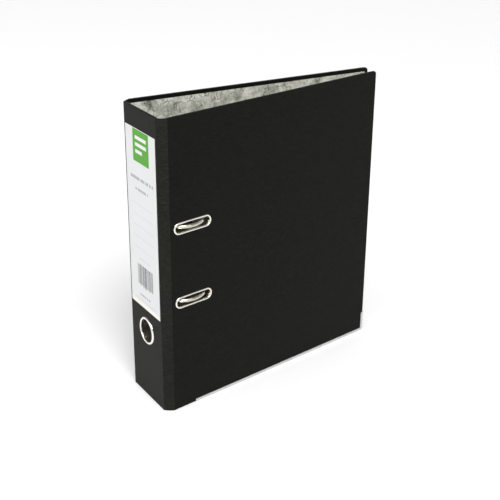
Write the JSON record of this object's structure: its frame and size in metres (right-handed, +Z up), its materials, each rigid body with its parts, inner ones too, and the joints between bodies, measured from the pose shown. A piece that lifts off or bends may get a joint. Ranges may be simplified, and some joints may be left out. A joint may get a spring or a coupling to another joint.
{
  "type": "lever arch file",
  "caption": "A4 lever arch file standing closed: board covers and spine joined by hinges, with a lever-worked ring mechanism, sheet compressor, thumb ring and spine label.",
  "frame": {"origin": "centre of the footprint, on the surface the file stands on", "axes": "+Z up; the spine faces -X and the fore-edge +X; the front cover, with the two slots, faces -Y"},
  "size_m": [0.2882, 0.0784, 0.315],
  "materials": {
    "black_cover_paper": "matt, finely grained",
    "grey_board": "raw pressed board",
    "marbled_lining": "matt, clouded print",
    "label_paper": "smooth, printed",
    "nickel_rail": "nickel plated sheet",
    "nickel_bright": "bright nickel plated",
    "nickel_wire": "nickel plated wire",
    "nickel_plate": "nickel plated pressing",
    "spring_steel": "oiled",
    "white_roller": "smooth"
  },
  "bodies": {
    "back_cover": {"back_cover_paper": "black_cover_paper", "back_board": "grey_board", "back_lining": "marbled_lining", "back_edge_rail": "nickel_rail", "base_plate": "nickel_plate", "mechanism_rivets": "nickel_plate", "post_lower": "nickel_wire", "post_upper": "nickel_wire", "axle_clip_lower": "nickel_plate", "axle_clip_upper": "nickel_plate", "arch_spring": "spring_steel", "lever_bracket": "nickel_plate", "lever_pivot_pin": "nickel_wire"},
    "spine": {"spine_cover_paper": "black_cover_paper", "spine_board": "grey_board", "spine_lining": "marbled_lining", "spine_label": "label_paper", "thumb_ring": "nickel_bright", "thumb_ring_washer": "nickel_bright", "front_hinge_cloth": "black_cover_paper", "back_hinge_cloth": "black_cover_paper"},
    "front_cover": {"front_cover_paper": "black_cover_paper", "front_board": "grey_board", "front_lining": "marbled_lining", "front_edge_rail": "nickel_rail", "slot_eyelet_lower": "nickel_bright", "slot_eyelet_upper": "nickel_bright"},
    "arch": {"arch_wire": "nickel_wire"},
    "lever_arm": {"lever": "nickel_plate", "roller_pin": "nickel_wire"},
    "roller": {"lever_roller": "white_roller"},
    "compressor": {"compressor_bar": "nickel_plate", "compressor_latch_lower": "nickel_plate", "compressor_latch_upper": "nickel_plate"}
  },
  "joints": [
    {"name": "spine_hinge", "type": "hinge", "parent": "back_cover", "child": "spine", "pos_m": [-0.1384, 0.03607, 0.1575], "axis": [0, 0, -1], "range_deg": [0, 2], "deforming": ["back_hinge_cloth"]},
    {"name": "front_hinge", "type": "hinge", "parent": "spine", "child": "front_cover", "pos_m": [-0.1384, -0.03613, 0.1575], "axis": [0, 0, -1], "range_deg": [0, 168], "deforming": ["front_hinge_cloth"]},
    {"name": "lever_lift", "type": "hinge", "parent": "back_cover", "child": "lever_arm", "pos_m": [-0.11391, 0.02244, 0.138], "axis": [0.9976, -0.0698, 0], "range_deg": [0, 75]},
    {"name": "arch_swing", "type": "hinge", "parent": "back_cover", "child": "arch", "pos_m": [-0.12639, 0.03033, 0.1625], "axis": [0, 0, -1], "range_deg": [0, 4]},
    {"name": "roller_spin", "type": "hinge", "parent": "lever_arm", "child": "roller", "pos_m": [-0.11391, 0.02244, 0.16], "axis": [0.9976, -0.0698, 0], "continuous": true},
    {"name": "compressor_slide", "type": "slide", "parent": "back_cover", "child": "compressor", "axis": [-0.0698, -0.9976, 0], "range_m": [0, 0.028]}
  ],
  "couplings": [
    {"joint": "arch_swing", "follows": "lever_lift", "ratio": 0.0533}
  ]
}
